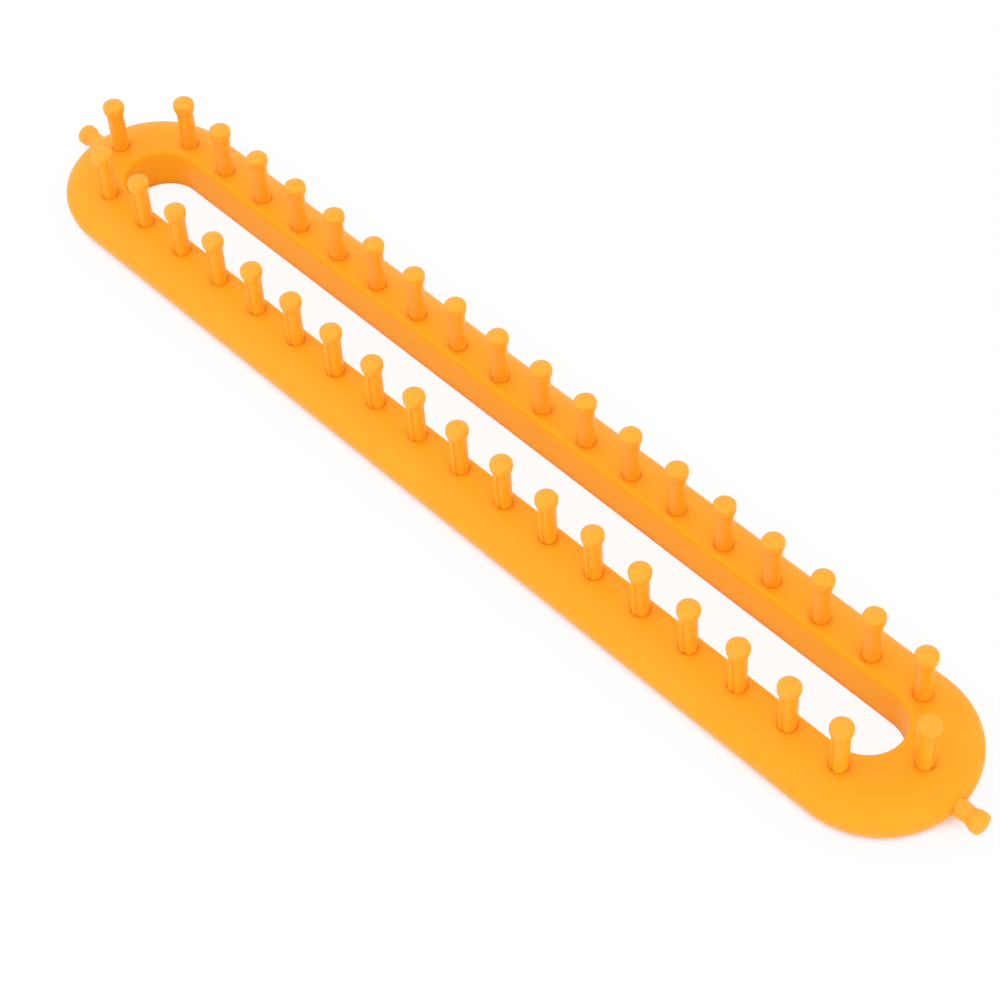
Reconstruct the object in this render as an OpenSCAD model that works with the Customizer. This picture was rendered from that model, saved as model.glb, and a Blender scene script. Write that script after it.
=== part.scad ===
// Rectangular knitting loom: a long moulded ring frame with an open middle, two rows of
// pegs, one peg at each end and a short anchor peg on each end wall. Millimetres.
// The frame stands on its lower rim at z = 0, centred on the origin, with its length on X.

/* [Layout] */
// Pegs in each of the two long rows
pegs_per_row = 18; // [4:1:27]
// Distance from one peg to the next along a row
pitch = 22; // [16:0.5:30]
// Distance between the centre lines of the two rows
row_gap = 39.3; // [28:0.1:60]
// How far each end peg stands beyond the last pegs of the rows
end_reach = 18.3; // [14:0.1:24]
// From an end peg's centre out to the end wall of the frame
end_overhang = 14.9; // [13:0.1:22]

/* [Frame] */
// Height of the frame without its pegs
frame_h = 16.4; // [15:0.1:26]
// From a row's centre line out to the widest line of the rounded side
side_reach = 14.3; // [12:0.1:20]
// Height of the shoulder, from the widest line up to the top
shoulder_h = 8.2; // [6:0.1:11]
// How far the side draws in again from the widest line down to the lower rim
tuck = 6; // [1:0.1:7]
// From a row's centre line in to the edge of the opening
inner_land = 6.1; // [4.8:0.1:9]
// From an end peg's centre to the end of the opening
end_land = 11; // [7:0.1:14]
// Radius of the rounded top edge of the opening
inner_round = 2; // [0.8:0.1:3.5]

/* [Walls] */
// Thickness of the outer and inner walls
wall = 2.2; // [1.6:0.1:2.8]
// Thickness of the top over the hollow underside
top_skin = 2.4; // [2:0.1:3.5]
// Thickness of the cross ribs under the top
rib_t = 1.4; // [1:0.1:2.5]
// Height of the ribs' lower edges above the rim
rib_lift = 4; // [2:0.5:7]
// Wall of the tubes that hold the peg roots
socket_wall = 2; // [1.2:0.1:2.6]
// How far a socket tube runs on past the end of its peg root
socket_extra = 0.6; // [0.2:0.1:1.5]

/* [Pegs] */
// Height of a peg above the top of the frame
peg_h = 21.8; // [14:0.1:30]
// Diameter of the ball-like head
head_d = 8; // [7:0.1:10]
// Rise of the head's domed top above its rounded edge
dome_h = 0.6; // [0.3:0.1:1.4]
// Radius of the head's rounded upper edge
head_round = 1.3; // [0.4:0.1:1.8]
// Height of the straight side of the head
head_side = 0.9; // [0.2:0.1:1.4]
// Height of the curve under the head, down to the shaft
under_h = 3; // [1:0.1:3.5]
// Diameter of the shaft
shaft_d = 6.3; // [5.6:0.1:6.8]
// Width of the groove up the outer side of the shaft
groove_w = 1.2; // [0.8:0.1:2]
// Depth of that groove
groove_depth = 0.6; // [0.3:0.1:1.2]
// From the top of the groove to the curve under the head
groove_stop = 0.3; // [0.2:0.1:3]

/* [Peg seats] */
// Diameter of the round recess in the top about each foot
recess_d = 7; // [7:0.1:9]
// Depth of that recess, to the floor that the foot stands on
recess_depth = 1.2; // [0.8:0.1:1.8]
// Diameter of the peg root
root_d = 5; // [4:0.1:5.4]
// Length of the root below the foot
root_l = 9.5; // [6:0.5:10.5]
// Chamfer on the root's end
root_chamfer = 0.5; // [0.2:0.1:1]
// Radial clearance of a root in its socket
seat_gap = 0.05; // [0.02:0.01:0.2]

/* [Anchor pegs] */
// How far an anchor peg stands out of the end wall
anchor_l = 10.8; // [8:0.1:16]
// How far an anchor peg's axis lies below the widest line of the end wall
anchor_drop = 0.8; // [0:0.1:1.6]
// Anchor shaft diameter at the wall
anchor_foot_d = 6.8; // [6:0.1:7.4]
// Anchor shaft diameter under its head
anchor_neck_d = 6.2; // [5:0.1:6.6]
// Depth of the flat seat that the anchor stands on
anchor_seat = 1.4; // [0.8:0.1:1.6]
// Radial clearance round the anchor's foot in its seat
anchor_seat_gap = 0.2; // [0.1:0.05:0.5]
// Length of the anchor's root
anchor_root_l = 6.5; // [4:0.5:7]

/* [Hidden] */

frame_colour = [1.0, 0.66, 0.17];
peg_colour = [1.0, 0.68, 0.22];
// Steps along the curves of the outlines
side_steps = 12;
head_steps = 6;
dome_steps = 4;
// Angle of the slanting ribs to the loom's length
rib_turn = 50;
// How far a cut runs past the surface that it opens
spare = 1;
round_fn = 48;
end_fn = 96;

row_x = (pegs_per_row - 1) * pitch / 2;
row_y = row_gap / 2;
end_peg_x = row_x + end_reach;
widest_z = frame_h - shoulder_h;
opening_r = row_y - inner_land;
opening_x = end_peg_x - end_land - opening_r;
socket_r = root_d / 2 + seat_gap;
socket_len = recess_depth + root_l + socket_extra;
wall_end_x = end_peg_x + end_overhang;
end_x = wall_end_x - row_y - side_reach;
anchor_seat_x = wall_end_x - anchor_seat;
anchor_z = widest_z - anchor_drop;
anchor_seat_d = anchor_foot_d + 2 * anchor_seat_gap;
head_h = dome_h + head_round + head_side + under_h;

// x of peg i in a row, counted from the left end
function peg_x(i) = (i - 1) * pitch - row_x;

// Side of the frame as points [distance from the long centre line, height], from the top
// over a rounded shoulder to the widest line and in again to the rim
function side_points(reach, top) = concat(
    [for (k = [0 : side_steps]) let (a = 90 * k / side_steps)
        [row_y + reach * sin(a), widest_z + (top - widest_z) * cos(a)]],
    [for (k = [1 : side_steps]) let (a = 90 * k / side_steps)
        [row_y + reach - tuck * (1 - cos(a)), widest_z * (1 - sin(a))]]
);

// Half of a cross-section, from the centre line out to the side
function half_section(reach, top, low) = concat(
    [[0, top]],
    side_points(reach, top),
    low < 0 ? [[row_y + reach - tuck, low]] : [],
    [[0, low]]
);

// A long body with round ends and the given half-section
module long_round(points) {
    rotate([90, 0, 90])
        linear_extrude(2 * end_x, center = true)
            for (side = [0, 1])
                mirror([side, 0])
                    polygon(points);
    for (side = [-1, 1])
        translate([side * end_x, 0, 0])
            rotate([0, 0, -90 * side])
                rotate_extrude(angle = 180, $fn = end_fn)
                    polygon(points);
}

// A slot shape with round ends of radius r, from height low to height high
module slot(r, low, high) {
    translate([0, 0, low])
        linear_extrude(high - low) {
            square([2 * opening_x, 2 * r], center = true);
            for (side = [-1, 1])
                translate([side * opening_x, 0])
                    circle(r, $fn = end_fn);
        }
}

// What is cut off the opening's top edge to round it
module edge_cut_section() {
    difference() {
        translate([opening_r - spare, frame_h - inner_round])
            square(inner_round + spare);
        translate([opening_r + inner_round, frame_h - inner_round])
            circle(inner_round, $fn = round_fn);
    }
}

// That section along both sides of the opening and round its ends
module edge_cut() {
    rotate([90, 0, 90])
        linear_extrude(2 * opening_x, center = true)
            for (side = [0, 1])
                mirror([side, 0])
                    edge_cut_section();
    for (side = [-1, 1])
        translate([side * opening_x, 0, 0])
            rotate([0, 0, -90 * side])
                rotate_extrude(angle = 180, $fn = end_fn)
                    edge_cut_section();
}

// Puts a child at every standing peg, turned so that its +X points outwards
module at_pegs() {
    for (i = [1 : pegs_per_row], side = [-1, 1])
        translate([peg_x(i), side * row_y, frame_h])
            rotate([0, 0, 90 * side])
                children();
    for (side = [-1, 1])
        translate([side * end_peg_x, 0, frame_h])
            rotate([0, 0, side > 0 ? 0 : 180])
                children();
}

// Puts a child at each anchor seat, with its +Z pointing out of the end wall
module at_anchors() {
    for (side = [-1, 1])
        translate([side * anchor_seat_x, 0, anchor_z])
            rotate([0, 90 * side, 0])
                children();
}

// Thin walls across the hollow: one between neighbouring pegs, one each side of an end
// peg and two slanting ones round each end
module ribs() {
    for (i = [1 : pegs_per_row - 1])
        translate([peg_x(i) + pitch / 2 - rib_t / 2, -row_gap, rib_lift])
            cube([rib_t, 2 * row_gap, frame_h]);
    for (side = [-1, 1]) {
        translate([side > 0 ? opening_x : -wall_end_x, -rib_t / 2, rib_lift])
            cube([wall_end_x - opening_x, rib_t, frame_h]);
        for (turn = [-rib_turn, rib_turn])
            translate([side * row_x, 0, rib_lift])
                rotate([0, 0, (side > 0 ? 0 : 180) + turn])
                    translate([0, -rib_t / 2, 0])
                        cube([2 * row_gap, rib_t, frame_h]);
    }
}

// The hollow under the top, with the ribs and the socket tubes left standing in it
module underside_hollow() {
    difference() {
        long_round(half_section(side_reach - wall, frame_h - top_skin, -spare));
        slot(opening_r + wall, -2 * spare, frame_h);
        ribs();
        at_pegs()
            translate([0, 0, -socket_len])
                cylinder(r = socket_r + socket_wall, h = socket_len, $fn = round_fn);
        at_anchors()
            translate([0, 0, -anchor_root_l - socket_extra])
                cylinder(r = socket_r + socket_wall, h = anchor_root_l + wall, $fn = round_fn);
    }
}

// Round hole for a root, down from the surface
module socket_hole(length) {
    translate([0, 0, -length])
        cylinder(r = socket_r, h = length + spare, $fn = round_fn);
}

module loom_frame() {
    color(frame_colour)
        difference() {
            long_round(half_section(side_reach, frame_h, 0));
            underside_hollow();
            slot(opening_r, -spare, frame_h + spare);
            edge_cut();
            at_pegs() {
                translate([0, 0, -recess_depth])
                    cylinder(d = recess_d, h = recess_depth + spare, $fn = round_fn);
                socket_hole(socket_len + spare);
            }
            at_anchors() {
                cylinder(d = anchor_seat_d, h = anchor_seat + spare, $fn = round_fn);
                socket_hole(anchor_root_l + socket_extra);
            }
        }
}

// Half outline of a peg as points [radius, height], with its foot at height 0. The head
// swells out of the shaft in a smooth curve and turns over a rounded edge into a low dome
function peg_outline(length, foot_r, neck_r, root) = let (
    head_r = head_d / 2,
    flat_r = head_r - head_round,
    neck_z = length - head_h,
    edge_z = length - dome_h - head_round,
    dome_r = (pow(flat_r, 2) + pow(dome_h, 2)) / (2 * dome_h),
    dome_edge = asin(flat_r / dome_r)
) concat(
    [
        [0, -root],
        [root_d / 2 - root_chamfer, -root],
        [root_d / 2, root_chamfer - root],
        [root_d / 2, 0],
        [foot_r, 0]
    ],
    [for (k = [0 : head_steps]) let (t = k / head_steps)
        [neck_r + (head_r - neck_r) * (1 - pow(1 - t, 2)), neck_z + under_h * t]],
    [for (k = [0 : head_steps]) let (a = 90 * k / head_steps)
        [flat_r + head_round * cos(a), edge_z + head_round * sin(a)]],
    [for (k = [1 : dome_steps]) let (a = dome_edge * (1 - k / dome_steps))
        [dome_r * sin(a), length - dome_r * (1 - cos(a))]]
);

// A loom peg standing on z = 0, with its groove on +X
module loom_peg() {
    length = recess_depth + peg_h;
    groove_floor = shaft_d / 2 - groove_depth;
    groove_end = length - head_h - groove_stop - groove_w / 2;
    difference() {
        rotate_extrude($fn = round_fn)
            polygon(peg_outline(length, shaft_d / 2, shaft_d / 2, root_l));
        translate([groove_floor, -groove_w / 2, -spare])
            cube([head_d, groove_w, groove_end + spare]);
        translate([groove_floor, 0, groove_end])
            rotate([0, 90, 0])
                cylinder(d = groove_w, h = head_d, $fn = round_fn);
    }
}

module standing_peg(x, y, turn) {
    color(peg_colour)
        translate([x, y, frame_h - recess_depth])
            rotate([0, 0, turn])
                loom_peg();
}

module front_peg(i) {
    standing_peg(peg_x(i), -row_y, -90);
}

module back_peg(i) {
    standing_peg(peg_x(i), row_y, 90);
}

module left_end_peg() {
    standing_peg(-end_peg_x, 0, 180);
}

module right_end_peg() {
    standing_peg(end_peg_x, 0, 0);
}

// An anchor peg in the end wall on the side given by -1 or 1
module anchor(side) {
    length = anchor_seat + anchor_l;
    outline = peg_outline(length, anchor_foot_d / 2, anchor_neck_d / 2, anchor_root_l);
    color(peg_colour)
        translate([side * anchor_seat_x, 0, anchor_z])
            rotate([0, 90 * side, 0])
                rotate_extrude($fn = round_fn)
                    polygon(outline);
}

module left_anchor() {
    anchor(-1);
}

module right_anchor() {
    anchor(1);
}

loom_frame();
for (i = [1 : pegs_per_row]) {
    front_peg(i);
    back_peg(i);
}
left_end_peg();
right_end_peg();
left_anchor();
right_anchor();
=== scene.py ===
# %% [markdown]
# # A rectangular knitting loom
# The loom is a long plastic ring with an open middle. Two rows of grooved pegs and one peg at
# each end stand in its top, and a short anchor peg stands out of each end wall. Every part is
# moulded from the same satin orange plastic, so form and light have to carry the picture: the
# rounded shoulder of the frame, the crescents of shade at the foot of each peg, and the round
# heads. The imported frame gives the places, and each part is modelled again here with finer
# curves and small roundings.

# %% Load the frame
import math

import bmesh
import bpy
from mathutils import Matrix, Vector


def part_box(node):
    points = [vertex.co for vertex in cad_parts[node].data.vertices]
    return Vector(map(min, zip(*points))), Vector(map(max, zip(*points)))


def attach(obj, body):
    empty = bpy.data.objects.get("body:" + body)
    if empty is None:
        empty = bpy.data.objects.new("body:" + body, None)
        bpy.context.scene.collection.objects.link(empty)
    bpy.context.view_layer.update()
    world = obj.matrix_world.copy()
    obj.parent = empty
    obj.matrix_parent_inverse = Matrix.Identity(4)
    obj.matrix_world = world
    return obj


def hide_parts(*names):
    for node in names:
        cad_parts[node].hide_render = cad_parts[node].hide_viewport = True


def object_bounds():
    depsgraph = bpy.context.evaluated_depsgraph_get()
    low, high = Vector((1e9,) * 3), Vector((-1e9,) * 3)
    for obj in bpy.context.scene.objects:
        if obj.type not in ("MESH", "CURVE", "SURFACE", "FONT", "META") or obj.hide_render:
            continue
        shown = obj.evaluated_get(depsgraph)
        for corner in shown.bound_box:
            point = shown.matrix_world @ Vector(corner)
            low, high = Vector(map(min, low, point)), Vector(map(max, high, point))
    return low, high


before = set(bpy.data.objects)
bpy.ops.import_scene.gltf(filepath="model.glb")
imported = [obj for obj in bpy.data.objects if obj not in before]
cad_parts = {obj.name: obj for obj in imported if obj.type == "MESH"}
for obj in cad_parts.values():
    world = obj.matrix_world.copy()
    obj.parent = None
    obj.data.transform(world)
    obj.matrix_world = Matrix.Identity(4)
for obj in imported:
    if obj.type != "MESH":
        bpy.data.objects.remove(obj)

cad_low, cad_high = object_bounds()
print("frame size in mm", [round(1000 * (b - a), 1) for a, b in zip(cad_low, cad_high)])

# %% [markdown]
# ## The camera
# The picture was taken with a long lens from high on the right, looking along the loom to the
# far left end. A long lens keeps the pegs nearly parallel. The camera comes first, because every
# later choice is judged through it.

# %% Camera
CAMERA_PLACE = Vector((0.5055, -0.4155, 0.7329))
CAMERA_AIM = Vector((0.0314, -0.0199, 0.0164))
CAMERA_ROLL = math.radians(-4.13)
SENSOR_WIDTH = 36.0
LENS = 99.8
CLIP_NEAR = 0.01
CLIP_FAR = 20


def add_camera(place, aim, roll, lens):
    """A camera at place that looks at aim, turned about its view by roll."""
    data = bpy.data.cameras.new("camera")
    data.sensor_width = SENSOR_WIDTH
    data.lens = lens
    data.clip_start = CLIP_NEAR
    data.clip_end = CLIP_FAR
    camera = bpy.data.objects.new("camera", data)
    bpy.context.scene.collection.objects.link(camera)
    turn = (aim - place).to_track_quat("-Z", "Y").to_matrix() @ Matrix.Rotation(roll, 3, "Z")
    camera.matrix_world = Matrix.Translation(place) @ turn.to_4x4()
    bpy.context.scene.camera = camera


add_camera(CAMERA_PLACE, CAMERA_AIM, CAMERA_ROLL, LENS)
print("camera distance in m", round((CAMERA_AIM - CAMERA_PLACE).length, 3))

# %% [markdown]
# ## Sizes
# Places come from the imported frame: the height of its top, the row of pegs, the centres of the
# end pegs. The curves between those places are this part's own design, so they are written here
# as real sizes. Blender works in metres, so a size in millimetres is multiplied by MM.

# %% Sizes read from the frame
MM = 0.001


def middle(node):
    """The centre of a CAD node's box."""
    low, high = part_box(node)
    return (low + high) / 2


frame_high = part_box("loom_frame")[1]
peg_low, peg_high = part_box("front_peg_1")
TOP = frame_high.z
ROW_Y = middle("back_peg_1").y
PEGS_PER_ROW = sum(name.startswith("front_peg_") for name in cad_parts)
END_PEG_X = middle("right_end_peg").x
SIDE_REACH = frame_high.y - ROW_Y
PEG_TOP = peg_high.z
HEAD_R = (peg_high.x - peg_low.x) / 2
print("pegs in a row", PEGS_PER_ROW, "at y", round(ROW_Y / MM, 2), "mm")
print("end peg at x", round(END_PEG_X / MM, 2), "mm")

# %% Sizes of the frame's section
SHOULDER_H = 8.2 * MM
TUCK = 6 * MM
INNER_LAND = 6.1 * MM
END_LAND = 11 * MM
END_OVERHANG = 14.9 * MM
INNER_ROUND = 2 * MM
WALL = 2.2 * MM
TOP_SKIN = 2.4 * MM
WIDEST_Z = TOP - SHOULDER_H
OPENING_R = ROW_Y - INNER_LAND
OPENING_X = END_PEG_X - END_LAND - OPENING_R
WALL_END_X = END_PEG_X + END_OVERHANG
END_X = WALL_END_X - ROW_Y - SIDE_REACH
# A cutter reaches PAST a surface, and two points closer than TOUCH are taken as one.
PAST = 1 * MM
TOUCH = 0.01 * MM
SIDE_STEPS = 24
ROUND_STEPS = 8
END_STEPS = 96
print("opening in mm", round(2 * (OPENING_X + OPENING_R) / MM, 1), "by", round(2 * OPENING_R / MM, 1))

# %% [markdown]
# ## The frame's ring
# The real frame is one moulding with a hollow underside. Its outline is a long loop with round
# ends, so its skin can be made as a lathe makes it: a chain of points is spun half a turn at one
# end, drawn along the straight bar, spun at the other end and drawn back. The opening's ends
# turn about other centres than the outer ends, which leaves a wider land there for the end pegs.
# So the inner and the outer skin are two sweeps, and bridge_loops closes the flats between them.

# %% Chains of the skins
def arc(steps, first=0):
    """Angles of a quarter turn, in steps."""
    return [math.pi / 2 * k / steps for k in range(first, steps + 1)]


def outer_chain(reach, top):
    """Side of the frame as [distance from the long centre line, height], from the top down."""
    rise = top - WIDEST_Z
    shoulder = [(ROW_Y + reach * math.sin(a), WIDEST_Z + rise * math.cos(a)) for a in arc(SIDE_STEPS)]
    widest = ROW_Y + reach
    under = [(widest - TUCK * (1 - math.cos(a)), WIDEST_Z * (1 - math.sin(a))) for a in arc(SIDE_STEPS, 1)]
    return shoulder + under


def inner_chain(distance, top, rounding):
    """Wall of the opening, from the rim up and over a rounding of that radius."""
    if rounding == 0:
        return [(distance, 0), (distance, top)]
    out, low = distance + rounding, top - rounding
    over = [(out - rounding * math.cos(a), low + rounding * math.sin(a)) for a in arc(ROUND_STEPS)]
    return [(distance, 0)] + over


def sweep(bm, points, end_x):
    """Sweeps a chain of [distance, height] round a loop whose ends turn about -end_x and end_x."""
    verts = [bm.verts.new((end_x, -distance, height)) for distance, height in points]
    edges = [bm.edges.new(pair) for pair in zip(verts, verts[1:])]
    for side in (1, -1):
        turned = bmesh.ops.spin(bm, geom=verts + edges, cent=(side * end_x, 0, 0), axis=(0, 0, 1),
                                angle=math.pi, steps=END_STEPS, use_merge=False)
        edges = [e for e in turned["geom_last"] if isinstance(e, bmesh.types.BMEdge)]
        drawn = bmesh.ops.extrude_edge_only(bm, edges=edges)["geom"]
        verts = [v for v in drawn if isinstance(v, bmesh.types.BMVert)]
        bmesh.ops.translate(bm, verts=verts, vec=(-2 * side * end_x, 0, 0))
        edges = [e for e in drawn if isinstance(e, bmesh.types.BMEdge)]
        edges = [e for e in edges if all(v in verts for v in e.verts)]
    bmesh.ops.remove_doubles(bm, verts=bm.verts, dist=TOUCH)


def flat_loop(bm, height):
    """The open edges that lie at one height."""
    ends = [e for e in bm.edges if e.is_boundary]
    return [e for e in ends if all(abs(v.co.z - height) < TOUCH for v in e.verts)]


def ring(name, inner, outer, low):
    """A closed ring from an inner chain and an outer chain, drawn down to the height low."""
    bm = bmesh.new()
    sweep(bm, inner, OPENING_X)
    sweep(bm, outer, END_X)
    if low < 0:
        drawn = bmesh.ops.extrude_edge_only(bm, edges=flat_loop(bm, 0))["geom"]
        lower = [v for v in drawn if isinstance(v, bmesh.types.BMVert)]
        bmesh.ops.translate(bm, verts=lower, vec=(0, 0, low))
    for height in (outer[0][1], low):
        bmesh.ops.bridge_loops(bm, edges=flat_loop(bm, height))
    bmesh.ops.recalc_face_normals(bm, faces=bm.faces)
    return keep_mesh(bm, name)


def keep_mesh(bm, name):
    """Turns a bmesh into an object at the origin."""
    mesh = bpy.data.meshes.new(name)
    bm.to_mesh(mesh)
    bm.free()
    piece = bpy.data.objects.new(name, mesh)
    bpy.context.scene.collection.objects.link(piece)
    return piece


UNDER_TOP = TOP - TOP_SKIN
solid_ring = ring("solid_ring", inner_chain(OPENING_R, TOP, INNER_ROUND), outer_chain(SIDE_REACH, TOP), 0)
inside = outer_chain(SIDE_REACH - WALL, UNDER_TOP)
hollow = ring("hollow", inner_chain(OPENING_R + WALL, UNDER_TOP, 0), inside, -PAST)
for piece in (solid_ring, hollow):
    print(piece.name, len(piece.data.polygons), "faces, box", [round(x / MM, 1) for x in piece.dimensions])

# %% [markdown]
# ## Ribs and socket tubes
# Under the top, thin ribs cross the hollow and a tube stands round each peg's root. They could be
# built one by one and joined on, but then each meet would need its own seam. Here they are cut
# out of the hollow before the hollow is cut out of the ring, which leaves them standing on the
# top as one moulding. The exact solver of the Boolean modifier keeps these meets closed.

# %% Sizes of ribs and tubes
RIB_T = 1.4 * MM
RIB_LIFT = 4 * MM
RIB_TURN = math.radians(50)
SOCKET_R = 2.55 * MM
SOCKET_WALL = 2 * MM
SOCKET_EXTRA = 0.6 * MM
RECESS_DEPTH = 1.2 * MM
ROOT_L = 9.5 * MM
ANCHOR_SEAT = 1.4 * MM
ANCHOR_ROOT_L = 6.5 * MM
ANCHOR_SEAT_X = WALL_END_X - ANCHOR_SEAT
ANCHOR_Z = middle("right_anchor").z
SOCKET_LEN = RECESS_DEPTH + ROOT_L + SOCKET_EXTRA
CIRCLE_STEPS = 64
SEAM = 0.001 * MM
print("sockets", round(SOCKET_LEN / MM, 1), "mm deep, anchors at z", round(ANCHOR_Z / MM, 2), "mm")


# %% Places of the pegs
def peg_nodes():
    """Every standing peg's node with the turn of its outer side about +Z."""
    numbers = range(1, PEGS_PER_ROW + 1)
    front = [(f"front_peg_{i}", -90) for i in numbers]
    back = [(f"back_peg_{i}", 90) for i in numbers]
    return front + back + [("left_end_peg", 180), ("right_end_peg", 0)]


def standing(node, turn):
    """Moves a shape from the origin onto the top at a peg's place, turned to its outer side."""
    place = middle(node)
    return Matrix.Translation((place.x, place.y, TOP)) @ Matrix.Rotation(math.radians(turn), 4, "Z")


def in_end_wall(side):
    """Moves a shape from the origin onto an anchor's seat, with its +Z out of the end wall."""
    seat = Matrix.Translation((side * ANCHOR_SEAT_X, 0, ANCHOR_Z))
    return seat @ Matrix.Rotation(side * math.pi / 2, 4, "Y")


print("standing pegs", len(peg_nodes()))


# %% Helpers that spin, join and cut
def spun(outline, place):
    """A closed turned shape from an outline of [radius, height], moved into place."""
    bm = bmesh.new()
    verts = [bm.verts.new((radius, 0, height)) for radius, height in outline]
    edges = [bm.edges.new(pair) for pair in zip(verts, verts[1:])]
    bmesh.ops.spin(bm, geom=verts + edges, cent=(0, 0, 0), axis=(0, 0, 1), angle=2 * math.pi,
                   steps=CIRCLE_STEPS, use_merge=True)
    bmesh.ops.remove_doubles(bm, verts=bm.verts, dist=SEAM)
    bmesh.ops.recalc_face_normals(bm, faces=bm.faces)
    bmesh.ops.transform(bm, matrix=place, verts=bm.verts)
    return bm


def together(name, parts):
    """One object out of several closed bmeshes."""
    whole = bmesh.new()
    for part in parts:
        mesh = bpy.data.meshes.new("part")
        part.to_mesh(mesh)
        part.free()
        whole.from_mesh(mesh)
        bpy.data.meshes.remove(mesh)
    return keep_mesh(whole, name)


def block(low, high, place=Matrix.Identity(4)):
    """A box between two corners."""
    bm = bmesh.new()
    size = [b - a for a, b in zip(low, high)]
    centre = [(a + b) / 2 for a, b in zip(low, high)]
    shape = place @ Matrix.Translation(centre) @ Matrix.Diagonal((*size, 1))
    bmesh.ops.create_cube(bm, size=1, matrix=shape)
    return bm


def cut(piece, tool):
    """Cuts the tool out of the piece and drops the tool."""
    modifier = piece.modifiers.new("cut", "BOOLEAN")
    modifier.operation = "DIFFERENCE"
    modifier.solver = "EXACT"
    modifier.object = tool
    cut_mesh = bpy.data.meshes.new_from_object(piece.evaluated_get(bpy.context.evaluated_depsgraph_get()))
    piece.modifiers.clear()
    piece.data = cut_mesh
    bpy.data.objects.remove(tool)


# %% Ribs and tubes out of the hollow
REACH = 2 * ROW_Y
PITCH = middle("front_peg_2").x - middle("front_peg_1").x
LAST_PEG_X = middle(f"front_peg_{PEGS_PER_ROW}").x


def rib_blocks():
    """The ribs between neighbouring pegs, and three round each end."""
    for i in range(1, PEGS_PER_ROW):
        x = middle(f"front_peg_{i}").x + PITCH / 2
        yield block((x - RIB_T / 2, -REACH, RIB_LIFT), (x + RIB_T / 2, REACH, TOP))
    for side in (1, -1):
        to_end = Matrix.Rotation(0 if side > 0 else math.pi, 4, "Z")
        yield block((OPENING_X, -RIB_T / 2, RIB_LIFT), (WALL_END_X, RIB_T / 2, TOP), to_end)
        for turn in (-RIB_TURN, RIB_TURN):
            slant = to_end @ Matrix.Translation((LAST_PEG_X, 0, 0)) @ Matrix.Rotation(turn, 4, "Z")
            yield block((0, -RIB_T / 2, RIB_LIFT), (REACH, RIB_T / 2, TOP), slant)


def rod(low, high):
    """Outline of a socket tube's outside."""
    tube_r = SOCKET_R + SOCKET_WALL
    return [(0, low), (tube_r, low), (tube_r, high), (0, high)]


def tubes():
    """A tube round each peg's root and each anchor's root."""
    for node, turn in peg_nodes():
        yield spun(rod(-SOCKET_LEN, PAST), standing(node, turn))
    for side in (1, -1):
        low = -ANCHOR_ROOT_L - SOCKET_EXTRA
        yield spun(rod(low, low + ANCHOR_ROOT_L + WALL), in_end_wall(side))


cut(hollow, together("ribs", rib_blocks()))
cut(hollow, together("tubes", tubes()))
print("hollow", len(hollow.data.polygons), "faces")


# %% [markdown]
# ## Recesses, sockets and seats
# Each standing peg is sunk a little into a round recess, which gives the crescent of shade at its
# foot. The recess and the socket below it are cut as one stepped, spun shape. A bevel on a cut
# rim is held back by the slivers that a Boolean leaves, so the soft lip is drawn into the cutter
# instead. Past the row of pegs the top falls away into the shoulder, and the lip is let down with
# it. Each anchor peg stands on a flat seat in the end wall.

# %% Cutters of the recesses
RECESS_R = 3.17 * MM
RECESS_LIP = 0.25 * MM
LIP_TURN = math.radians(50)
LIP_STEPS = 4
ANCHOR_SEAT_R = 3.41 * MM


def stepped(low, step, wide):
    """Outline of a socket from low to step that goes on as a wider hole."""
    return [(0, low), (SOCKET_R, low), (SOCKET_R, step)] + wide + [(0, wide[-1][1])]


def lip(radius, size):
    """A recess's side as [radius, height], which leans out over its lip and past the top."""
    points = [(radius, -RECESS_DEPTH)]
    for k in range(LIP_STEPS + 1):
        a = LIP_TURN * k / LIP_STEPS
        points.append((radius + size * (1 - math.cos(a)), size * (math.sin(a) - 1)))
    wide, low = points[-1]
    points.append((wide + (PAST - low) * math.tan(LIP_TURN), PAST))
    return points


def fall(point):
    """How far the shoulder has fallen away from the top at a point."""
    past_end = max(abs(point.x) - END_X, 0)
    out = math.hypot(past_end, point.y) - ROW_Y
    return 0 if out < 0 else SHOULDER_H * (1 - math.sqrt(1 - (out / SIDE_REACH) ** 2))


def recess(node, turn):
    """A peg's recess and socket, with its lip let down onto the shoulder."""
    low = -SOCKET_LEN - PAST
    bm = spun(stepped(low, -RECESS_DEPTH, lip(RECESS_R, RECESS_LIP)), standing(node, turn))
    for v in bm.verts:
        if v.co.z > TOP - RECESS_LIP - TOUCH:
            v.co.z -= fall(v.co)
    return bm


def seats():
    """A stepped hole for each peg and each anchor."""
    for node, turn in peg_nodes():
        yield recess(node, turn)
    side_wall = [(ANCHOR_SEAT_R, 0), (ANCHOR_SEAT_R, 2 * ANCHOR_SEAT)]
    seat = stepped(-ANCHOR_ROOT_L - SOCKET_EXTRA, 0, side_wall)
    for side in (1, -1):
        yield spun(seat, in_end_wall(side))


# %% Cut the frame
cut(solid_ring, together("seats", seats()))
cut(solid_ring, hollow)
loom_frame = solid_ring
loom_frame.name = "frame_moulding"
print("frame", len(loom_frame.data.polygons), "faces")

# %% [markdown]
# ## The pegs
# A peg is a turned shape: a straight root in its socket, a straight shaft, and a ball-like head
# that swells out of the shaft and turns over a rounded edge into a low dome. It could be put
# together from a cylinder and a ball, but one outline spun about the axis gives the hollow curve
# under the head in the same stroke. The anchor pegs use the same outline with a wider foot.

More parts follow.
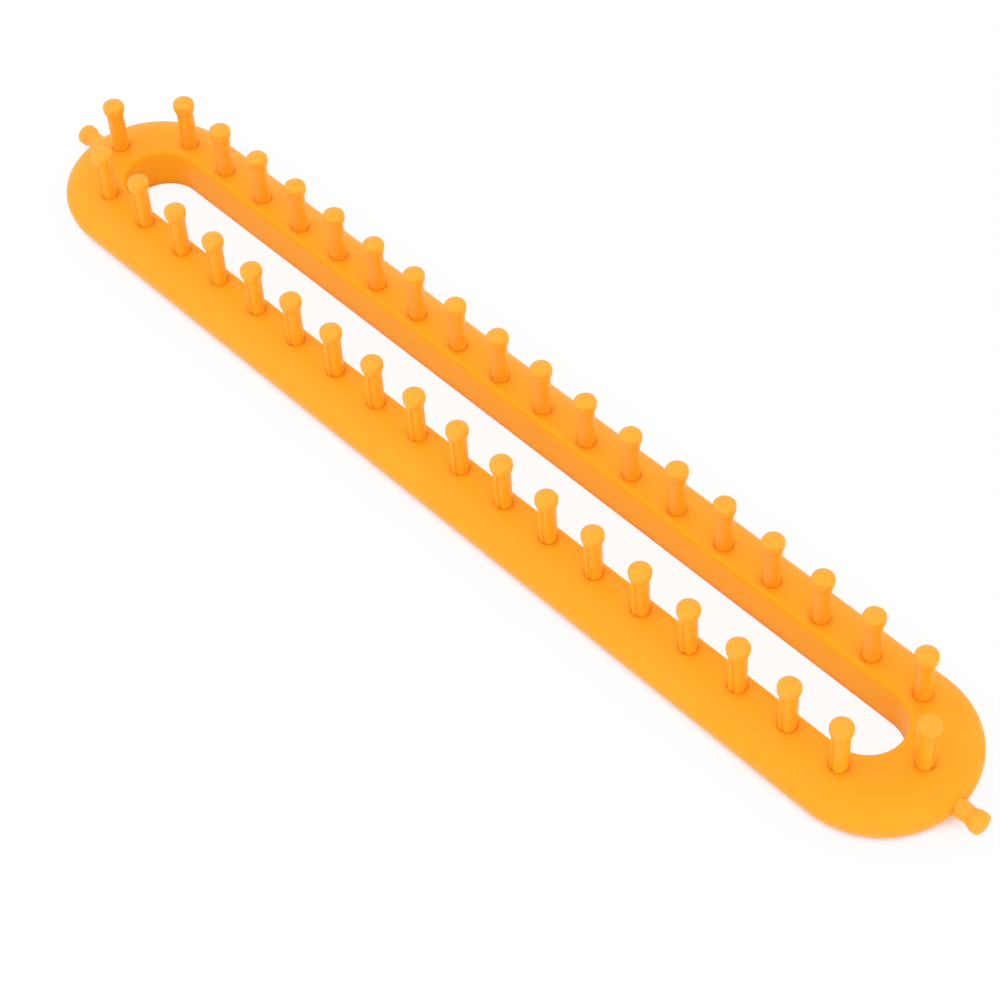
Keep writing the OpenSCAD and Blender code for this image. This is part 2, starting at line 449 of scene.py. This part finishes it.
# %% Sizes of the pegs
DOME_H = 0.6 * MM
HEAD_ROUND = 1.3 * MM
HEAD_SIDE = 0.9 * MM
UNDER_H = 3 * MM
HEAD_H = DOME_H + HEAD_ROUND + HEAD_SIDE + UNDER_H
SHAFT_R = 3.15 * MM
ROOT_R = 2.5 * MM
ROOT_CHAMFER = 0.5 * MM
GATE_R = 0.6 * MM
GATE_DEPTH = 0.12 * MM
ANCHOR_FOOT_R = 3.4 * MM
ANCHOR_NECK_R = 3.1 * MM
# The hollow curve under the head meets the round one at JOIN, with the same slope on both sides.
JOIN = 0.15
START = (2 * JOIN - JOIN ** 2) / (1 - JOIN) - JOIN
BEND = (1 - JOIN) / (JOIN + START)
UNDER_STEPS = 14
DOME_STEPS = 6
GATE_STEPS = 4
PEG_H = PEG_TOP - TOP
print("pegs stand", round(PEG_H / MM, 1), "mm high, with heads", round(2 * HEAD_R / MM, 1), "mm wide")


# %% Outline of a peg
def under_head(t):
    """Share of the head's overhang at a share t of the height of its underside.

    Near the neck it is a hollow curve that starts a little down the shaft, and above JOIN it is
    a round one that ends upright at the head's widest line.
    """
    if t < JOIN:
        return BEND * (t + START) ** 2
    return 1 - (1 - t) ** 2


def peg_outline(length, foot_r, neck_r, root):
    """Outline of a peg as [radius, height], with its foot at height 0."""
    flat_r = HEAD_R - HEAD_ROUND
    neck_z = length - HEAD_H
    edge_z = length - DOME_H - HEAD_ROUND
    points = [(0, -root), (ROOT_R - ROOT_CHAMFER, -root), (ROOT_R, ROOT_CHAMFER - root)]
    points += [(ROOT_R, 0), (foot_r, 0)]
    for k in range(UNDER_STEPS + 1):
        t = (1 + START) * k / UNDER_STEPS - START
        points.append((neck_r + (HEAD_R - neck_r) * under_head(t), neck_z + UNDER_H * t))
    for a in arc(ROUND_STEPS):
        points.append((flat_r + HEAD_ROUND * math.cos(a), edge_z + HEAD_ROUND * math.sin(a)))
    return points + dome(length, flat_r)


def dome(length, flat_r):
    """The low dome from its edge in to a shallow gate mark at the middle."""
    dome_r = (flat_r ** 2 + DOME_H ** 2) / (2 * DOME_H)
    radii = [flat_r + (GATE_R - flat_r) * k / DOME_STEPS for k in range(1, DOME_STEPS + 1)]
    radii += [GATE_R * (1 - k / GATE_STEPS) for k in range(1, GATE_STEPS + 1)]
    points = []
    for radius in radii:
        dip = 0 if radius >= GATE_R else GATE_DEPTH * (1 + math.cos(math.pi * radius / GATE_R)) / 2
        points.append((radius, length - dome_r + math.sqrt(dome_r ** 2 - radius ** 2) - dip))
    return points


# %% [markdown]
# ## The groove
# A groove runs up the outer side of each standing peg, where the yarn is picked up to be lifted
# over it. It starts just under the rim of the recess and has a round end below the head. Its
# floor and its edges are soft. The edges of a straight cutter would meet the round shaft
# unevenly, so the slot's outline is bent round the shaft's axis, and lofted through a few widths
# from its floor out past the shaft's side.

# %% Cutter of the groove
GROOVE_W = 1.4 * MM
GROOVE_DEPTH = 0.7 * MM
GROOVE_STOP = 0.3 * MM
GROOVE_START = 0.35 * MM
GROOVE_LIP = 0.3 * MM
GROOVE_ROUND = 0.5 * MM
GROOVE_STEPS = 4
LIP_END = math.radians(70)


def groove_section():
    """The groove's section as [distance from the axis, half width], from its floor outwards."""
    floor = SHAFT_R - GROOVE_DEPTH
    half = GROOVE_W / 2
    points = []
    for k in range(GROOVE_STEPS + 1):
        a = math.pi / 2 * k / GROOVE_STEPS
        points.append((floor + GROOVE_ROUND * (1 - math.cos(a)), half + GROOVE_ROUND * (math.sin(a) - 1)))
    for k in range(GROOVE_STEPS + 1):
        a = LIP_END * k / GROOVE_STEPS
        side = SHAFT_R - GROOVE_LIP * (math.sin(LIP_END) - math.sin(a))
        points.append((side, half + GROOVE_LIP * (1 - math.cos(a))))
    points.append((SHAFT_R + PAST, points[-1][1] + GROOVE_LIP))
    return points


def groove_cutter(length):
    """A slot with a round upper end and rounded edges, bent round the shaft's side on +X."""
    top = length - HEAD_H - GROOVE_STOP - GROOVE_W / 2
    foot = RECESS_DEPTH - GROOVE_START
    bm = bmesh.new()
    rings, loops = [], []
    for radius, half in groove_section():
        outline = [(half * math.cos(a), top + half * math.sin(a)) for a in arc(2 * ROUND_STEPS)]
        outline += [(-y, z) for y, z in reversed(outline[:-1])]
        outline += [(-half, foot), (half, foot)]
        turned = [(y / SHAFT_R, z) for y, z in outline]
        verts = [bm.verts.new((radius * math.cos(a), radius * math.sin(a), z)) for a, z in turned]
        rings.append(verts)
        loops.append([bm.edges.new(pair) for pair in zip(verts, verts[1:] + verts[:1])])
    for low, high in zip(loops, loops[1:]):
        bmesh.ops.bridge_loops(bm, edges=low + high)
    caps = [bm.faces.new(rings[0]), bm.faces.new(rings[-1])]
    bmesh.ops.triangulate(bm, faces=caps)
    bmesh.ops.recalc_face_normals(bm, faces=bm.faces)
    return keep_mesh(bm, "groove")


# %% [markdown]
# ## Setting the pegs
# All the standing pegs are the same moulding, so one master peg is made and every peg is a copy
# of its mesh, moved into place. The pegs were pressed in by hand, so a groove doesn't point
# straight outwards on each one: the small turns below, in degrees, follow the front row.

# %% Master peg and copies
FRONT_TURNS = [6, 6, 6, 8, 17, 17, 26, 27, 28, 28, 22, 17, 19, 21, 16, 15, 6, -8]


def master_peg():
    """A peg at the origin with its groove on +X."""
    length = RECESS_DEPTH + PEG_H
    outline = peg_outline(length, SHAFT_R, SHAFT_R, ROOT_L)
    peg = keep_mesh(spun(outline, Matrix.Identity(4)), "master_peg")
    cut(peg, groove_cutter(length))
    return peg


def copied(piece, name, place):
    """A copy of a piece's mesh, moved into place, with its object at the origin."""
    mesh = piece.data.copy()
    mesh.transform(place)
    made = bpy.data.objects.new(name, mesh)
    bpy.context.scene.collection.objects.link(made)
    return made


def hand_turn(node):
    """How far a peg is turned from straight outwards, in degrees."""
    row, number = node.split("_")[0], node.split("_")[-1]
    return FRONT_TURNS[int(number) - 1] if row == "front" else 0


# %% Make the pegs
pattern = master_peg()
pegs = {}
for node, turn in peg_nodes():
    place = standing(node, turn + hand_turn(node)) @ Matrix.Translation((0, 0, -RECESS_DEPTH))
    pegs[node] = copied(pattern, f"{node}_turned", place)
bpy.data.objects.remove(pattern)
ANCHOR_L = cad_high.x - ANCHOR_SEAT_X
for side, node in ((-1, "left_anchor"), (1, "right_anchor")):
    outline = peg_outline(ANCHOR_L, ANCHOR_FOOT_R, ANCHOR_NECK_R, ANCHOR_ROOT_L)
    pegs[node] = keep_mesh(spun(outline, in_end_wall(side)), f"{node}_turned")
print("pegs", len(pegs), "with", len(pegs["front_peg_1"].data.polygons), "faces each")

# %% [markdown]
# ## Satin orange plastic
# Moulded plastic of this kind is an even, deep orange with a soft sheen. Its surface is a little
# rough from the mould, which spreads the highlights, and the colour is warmer where light goes in
# and comes out again. A node group makes the fine grain and the slow change in tone once, and
# both plastics use it with their own values. The wall of the opening looks a little yellower than
# bounced light alone makes it, so painted light, a lighter and yellower colour, is mixed in there
# through a second group that masks it by its distance from the centre line. Round the feet the
# frame takes painted shade, a deeper colour within a few millimetres, by ambient occlusion.

# %% Moulded grain group
TONE_DETAIL = 3
GRAIN_DETAIL = 2


def socket(group, name, kind, value=None, in_out="INPUT"):
    """Adds a named socket to a node group."""
    made = group.interface.new_socket(name=name, in_out=in_out, socket_type=kind)
    if value is not None:
        made.default_value = value
    return made


def moulded_grain():
    """Group that gives a slow change of colour, an uneven roughness and a fine grain height."""
    group = bpy.data.node_groups.new("moulded_grain", "ShaderNodeTree")
    socket(group, "Colour", "NodeSocketColor", (1, 0.4, 0.03, 1))
    socket(group, "Deep colour", "NodeSocketColor", (1, 0.35, 0.02, 1))
    socket(group, "Tone size", "NodeSocketFloat", 30)
    socket(group, "Grain size", "NodeSocketFloat", 4000)
    socket(group, "Rough low", "NodeSocketFloat", 0.4)
    socket(group, "Rough high", "NodeSocketFloat", 0.5)
    socket(group, "Colour", "NodeSocketColor", in_out="OUTPUT")
    socket(group, "Roughness", "NodeSocketFloat", in_out="OUTPUT")
    socket(group, "Grain", "NodeSocketFloat", in_out="OUTPUT")
    nodes, links = group.nodes, group.links
    given, out = nodes.new("NodeGroupInput"), nodes.new("NodeGroupOutput")
    place = nodes.new("ShaderNodeTexCoord")
    tone, grain = nodes.new("ShaderNodeTexNoise"), nodes.new("ShaderNodeTexNoise")
    mix, rough = nodes.new("ShaderNodeMix"), nodes.new("ShaderNodeMapRange")
    mix.data_type = "RGBA"
    tone.inputs["Detail"].default_value = TONE_DETAIL
    grain.inputs["Detail"].default_value = GRAIN_DETAIL
    for noise, size in ((tone, "Tone size"), (grain, "Grain size")):
        links.new(place.outputs["Object"], noise.inputs["Vector"])
        links.new(given.outputs[size], noise.inputs["Scale"])
    links.new(tone.outputs["Fac"], mix.inputs["Factor"])
    links.new(given.outputs["Colour"], mix.inputs["A"])
    links.new(given.outputs["Deep colour"], mix.inputs["B"])
    links.new(grain.outputs["Fac"], rough.inputs["Value"])
    links.new(given.outputs["Rough low"], rough.inputs["To Min"])
    links.new(given.outputs["Rough high"], rough.inputs["To Max"])
    links.new(mix.outputs["Result"], out.inputs["Colour"])
    links.new(rough.outputs["Result"], out.inputs["Roughness"])
    links.new(grain.outputs["Fac"], out.inputs["Grain"])
    return group


GRAIN = moulded_grain()
print("made the group", GRAIN.name)


# %% Mask of the opening's wall
def opening_wall_light_mask():
    """Group whose mask is 1 on the wall of the opening and fades out over its rounded edge; it places
    painted light.
    """
    group = bpy.data.node_groups.new("opening_wall_light_mask", "ShaderNodeTree")
    socket(group, "Half length", "NodeSocketFloat", 0.18)
    socket(group, "Wall distance", "NodeSocketFloat", 0.0135)
    socket(group, "Fade end", "NodeSocketFloat", 0.0155)
    socket(group, "Mask", "NodeSocketFloat", in_out="OUTPUT")
    nodes, links = group.nodes, group.links
    given, out = nodes.new("NodeGroupInput"), nodes.new("NodeGroupOutput")
    place, split = nodes.new("ShaderNodeTexCoord"), nodes.new("ShaderNodeSeparateXYZ")
    along, past, kept = [nodes.new("ShaderNodeMath") for k in range(3)]
    flat, length = nodes.new("ShaderNodeCombineXYZ"), nodes.new("ShaderNodeVectorMath")
    share = nodes.new("ShaderNodeMapRange")
    along.operation, past.operation, kept.operation = "ABSOLUTE", "SUBTRACT", "MAXIMUM"
    length.operation = "LENGTH"
    share.inputs["To Min"].default_value = 1
    share.inputs["To Max"].default_value = 0
    links.new(place.outputs["Object"], split.inputs["Vector"])
    links.new(split.outputs["X"], along.inputs[0])
    links.new(along.outputs[0], past.inputs[0])
    links.new(given.outputs["Half length"], past.inputs[1])
    links.new(past.outputs[0], kept.inputs[0])
    kept.inputs[1].default_value = 0
    links.new(kept.outputs[0], flat.inputs["X"])
    links.new(split.outputs["Y"], flat.inputs["Y"])
    links.new(flat.outputs["Vector"], length.inputs[0])
    links.new(length.outputs["Value"], share.inputs["Value"])
    links.new(given.outputs["Wall distance"], share.inputs["From Min"])
    links.new(given.outputs["Fade end"], share.inputs["From Max"])
    links.new(share.outputs["Result"], out.inputs["Mask"])
    return group


OPENING_WALL_LIGHT_MASK = opening_wall_light_mask()
print("made the group", OPENING_WALL_LIGHT_MASK.name)

# %% Satin plastic
PLASTIC_IOR = 1.45
DEPTH_SHARE = 0.3
DEPTH_COLOURS = (1.0, 0.5, 0.15)
DEPTH = 1.5 * MM
SHEEN_TINT = (1.0, 0.92, 0.75)


def plastic(name, colours, rough, grain_height, sheen):
    """A satin plastic with the moulded grain."""
    material = bpy.data.materials.new(name)
    material.use_nodes = True
    nodes, links = material.node_tree.nodes, material.node_tree.links
    shader = nodes["Principled BSDF"]
    skin, bump = nodes.new("ShaderNodeGroup"), nodes.new("ShaderNodeBump")
    skin.node_tree = GRAIN
    skin.inputs["Colour"].default_value = (*colours[0], 1)
    skin.inputs["Deep colour"].default_value = (*colours[1], 1)
    skin.inputs["Rough low"].default_value = rough[0]
    skin.inputs["Rough high"].default_value = rough[1]
    bump.inputs["Distance"].default_value = grain_height
    bump.inputs["Strength"].default_value = 1
    shader.inputs["IOR"].default_value = PLASTIC_IOR
    shader.inputs["Specular IOR Level"].default_value = sheen
    shader.inputs["Specular Tint"].default_value = (*SHEEN_TINT, 1)
    shader.inputs["Subsurface Weight"].default_value = DEPTH_SHARE
    shader.inputs["Subsurface Radius"].default_value = DEPTH_COLOURS
    shader.inputs["Subsurface Scale"].default_value = DEPTH
    links.new(skin.outputs["Colour"], shader.inputs["Base Color"])
    links.new(skin.outputs["Roughness"], shader.inputs["Roughness"])
    links.new(skin.outputs["Grain"], bump.inputs["Height"])
    links.new(bump.outputs["Normal"], shader.inputs["Normal"])
    return material


# %% Painted light on the wall and painted shade at the meets
COVER_SAMPLES = 16
FADE_START = 0.1
MEET_REACH = 3.5 * MM
MEET_SHADE = (0.4, 0.97)


def in_the_open(nodes, links, reach, low, high):
    """0 where less than the share low of the near space is open, and 1 from the share high on."""
    cover, share = nodes.new("ShaderNodeAmbientOcclusion"), nodes.new("ShaderNodeMapRange")
    cover.samples = COVER_SAMPLES
    cover.inputs["Distance"].default_value = reach
    share.interpolation_type = "SMOOTHSTEP"
    share.inputs["From Min"].default_value = low
    share.inputs["From Max"].default_value = high
    links.new(cover.outputs["AO"], share.inputs["Value"])
    return share.outputs["Result"]


def paint_shade_at_meets(material, colour):
    """Mixes painted shade, a deeper colour, into a plastic where another piece stands close by."""
    nodes, links = material.node_tree.nodes, material.node_tree.links
    base, mix = nodes["Principled BSDF"].inputs["Base Color"], nodes.new("ShaderNodeMix")
    mix.data_type = "RGBA"
    mix.inputs["A"].default_value = (*colour, 1)
    links.new(in_the_open(nodes, links, MEET_REACH, *MEET_SHADE), mix.inputs["Factor"])
    links.new(base.links[0].from_socket, mix.inputs["B"])
    links.new(mix.outputs["Result"], base)


def paint_light_on_wall(material, colour):
    """Mixes painted light, a lighter and yellower colour, into a plastic on the wall of the opening."""
    nodes, links = material.node_tree.nodes, material.node_tree.links
    base = nodes["Principled BSDF"].inputs["Base Color"]
    wall, mix = nodes.new("ShaderNodeGroup"), nodes.new("ShaderNodeMix")
    wall.node_tree = OPENING_WALL_LIGHT_MASK
    wall.inputs["Half length"].default_value = OPENING_X
    wall.inputs["Wall distance"].default_value = OPENING_R + FADE_START * INNER_ROUND
    wall.inputs["Fade end"].default_value = OPENING_R + INNER_ROUND
    mix.data_type = "RGBA"
    mix.inputs["B"].default_value = (*colour, 1)
    links.new(wall.outputs["Mask"], mix.inputs["Factor"])
    links.new(base.links[0].from_socket, mix.inputs["A"])
    links.new(mix.outputs["Result"], base)


# %% Two plastics
FRAME_COLOURS = ((1.0, 0.40, 0.010), (1.0, 0.38, 0.008))
# Painted light: a lighter, yellower colour on the wall of the opening.
WALL_PAINTED_LIGHT = (1.0, 0.44, 0.002)
# Painted shade: a deeper colour where another piece stands close, found by ambient occlusion.
MEET_PAINTED_SHADE = (0.93, 0.26, 0.003)
PEG_COLOURS = ((1.0, 0.42, 0.014), (1.0, 0.40, 0.011))
FRAME_ROUGH = (0.42, 0.50)
PEG_ROUGH = (0.38, 0.46)
FRAME_GRAIN = 0.006 * MM
PEG_GRAIN = 0.004 * MM
FRAME_SHEEN = 0.34
PEG_SHEEN = 0.7
frame_plastic = plastic("frame_plastic", FRAME_COLOURS, FRAME_ROUGH, FRAME_GRAIN, FRAME_SHEEN)
# The frame gets painted light on the opening's wall and painted shade round the feet.
paint_light_on_wall(frame_plastic, WALL_PAINTED_LIGHT)
paint_shade_at_meets(frame_plastic, MEET_PAINTED_SHADE)
peg_plastic = plastic("peg_plastic", PEG_COLOURS, PEG_ROUGH, PEG_GRAIN, PEG_SHEEN)
print("plastics", frame_plastic.name, "and", peg_plastic.name)

# %% [markdown]
# ## Dressing the pieces
# Every piece gets its plastic and smooth shading with sharp edges kept where faces turn by more
# than SHARP_TURN. Then the imported piece it stands for is hidden, and it is put on the body it rides on.
# Nothing moves on this loom, so all the pieces ride on the root.

# %% Dress the pieces
SHARP_TURN = math.radians(30)


def dress(piece, material, slot, *nodes):
    """Gives a finished piece its material and smooth shading, hides its imported nodes and puts it on the
    root. The slot is not used.
    """
    piece.data.materials.clear()
    piece.data.materials.append(material)
    piece.data.shade_smooth()
    piece.data.set_sharp_from_angle(angle=SHARP_TURN)
    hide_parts(*nodes)
    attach(piece, "root")


dress(loom_frame, frame_plastic, "frame_plastic", "loom_frame")
for node, peg in pegs.items():
    dress(peg, peg_plastic, "peg_plastic", node)
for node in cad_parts.values():
    material = frame_plastic if node.name == "loom_frame" else peg_plastic
    node.data.materials.clear()
    node.data.materials.append(material)
print("pieces dressed", 1 + len(pegs))

# %% [markdown]
# ## The floor
# The loom lies on a plain white surface. A floor that is only painted white looks grey in soft
# light, and more light would wash out the plastic. So what the camera sees of it in the open is
# lifted towards white, and close under the loom it keeps its own shade, which sets the loom down.

# %% Floor
FLOOR_HALF = 6.0
FLOOR_COLOUR = (0.95, 0.95, 0.95, 1)
FLOOR_ROUGH = 0.9
FLOOR_LIFT = 0.88
SHADE_REACH = 10 * MM
FLOOR_SHADE = (0.15, 0.5)


def seen_by_eye(nodes, links):
    """1 where the camera, a mirror or glass looks straight at a surface, and 0 for soft light."""
    path = nodes.new("ShaderNodeLightPath")
    total = path.outputs["Is Camera Ray"]
    for name in ("Is Glossy Ray", "Is Transmission Ray"):
        add = nodes.new("ShaderNodeMath")
        add.operation = "ADD"
        add.use_clamp = True
        links.new(total, add.inputs[0])
        links.new(path.outputs[name], add.inputs[1])
        total = add.outputs[0]
    return total


def pale_floor():
    """A pale floor that keeps a faint shadow and is near white to the eye."""
    material = bpy.data.materials.new("pale_floor")
    material.use_nodes = True
    nodes, links = material.node_tree.nodes, material.node_tree.links
    base, out = nodes["Principled BSDF"], nodes["Material Output"]
    base.inputs["Base Color"].default_value = FLOOR_COLOUR
    base.inputs["Roughness"].default_value = FLOOR_ROUGH
    base.inputs["Specular IOR Level"].default_value = 0
    glow, mix = nodes.new("ShaderNodeEmission"), nodes.new("ShaderNodeMixShader")
    lift, share = nodes.new("ShaderNodeMath"), nodes.new("ShaderNodeMath")
    glow.inputs["Color"].default_value = (1, 1, 1, 1)
    lift.operation = share.operation = "MULTIPLY"
    lift.inputs[1].default_value = FLOOR_LIFT
    links.new(in_the_open(nodes, links, SHADE_REACH, *FLOOR_SHADE), lift.inputs[0])
    links.new(seen_by_eye(nodes, links), share.inputs[0])
    links.new(lift.outputs[0], share.inputs[1])
    links.new(share.outputs[0], mix.inputs["Fac"])
    links.new(base.outputs["BSDF"], mix.inputs[1])
    links.new(glow.outputs["Emission"], mix.inputs[2])
    links.new(mix.outputs["Shader"], out.inputs["Surface"])
    return material


bm = bmesh.new()
bmesh.ops.create_grid(bm, x_segments=1, y_segments=1, size=FLOOR_HALF)
floor = keep_mesh(bm, "floor")
floor.data.materials.append(pale_floor())
print("floor", round(floor.dimensions.x, 1), "m wide")

# %% [markdown]
# ## Light
# Soft light comes from all round, as in a white room. On its own it would leave the round forms
# flat, so two large lamps, one high on the left and one low on the right, model them, and a
# fainter one fills in from the camera's side. They stay at a level at which a colour renders
# about as written.

# %% Light
WORLD_STRENGTH = 0.99
SOFTBOX_SIZE = 1.2
SOFTBOXES = {
    "key_softbox": (Vector((-0.9, -0.7, 1.3)), 2.8),
    "camera_side_softbox": (Vector((0.5, -0.9, 1.2)), 1.2),
    "low_right_softbox": (Vector((1.4, -0.5, 0.5)), 2.8),
}

world = bpy.data.worlds.new("soft_room")
world.use_nodes = True
world.node_tree.nodes["Background"].inputs["Color"].default_value = (1, 1, 1, 1)
world.node_tree.nodes["Background"].inputs["Strength"].default_value = WORLD_STRENGTH
bpy.context.scene.world = world


def softbox(name, place, aim, size, watts):
    """A square lamp that looks at a point."""
    data = bpy.data.lights.new(name, "AREA")
    data.size = size
    data.energy = watts
    lamp = bpy.data.objects.new(name, data)
    turn = (aim - place).to_track_quat("-Z", "Y").to_matrix()
    lamp.matrix_world = Matrix.Translation(place) @ turn.to_4x4()
    bpy.context.scene.collection.objects.link(lamp)


for name, (place, watts) in SOFTBOXES.items():
    softbox(name, place, Vector((0, 0, 0)), SOFTBOX_SIZE, watts)
bpy.context.scene.view_settings.view_transform = "Standard"
print("world", WORLD_STRENGTH, "softboxes", [watts for place, watts in SOFTBOXES.values()], "W")
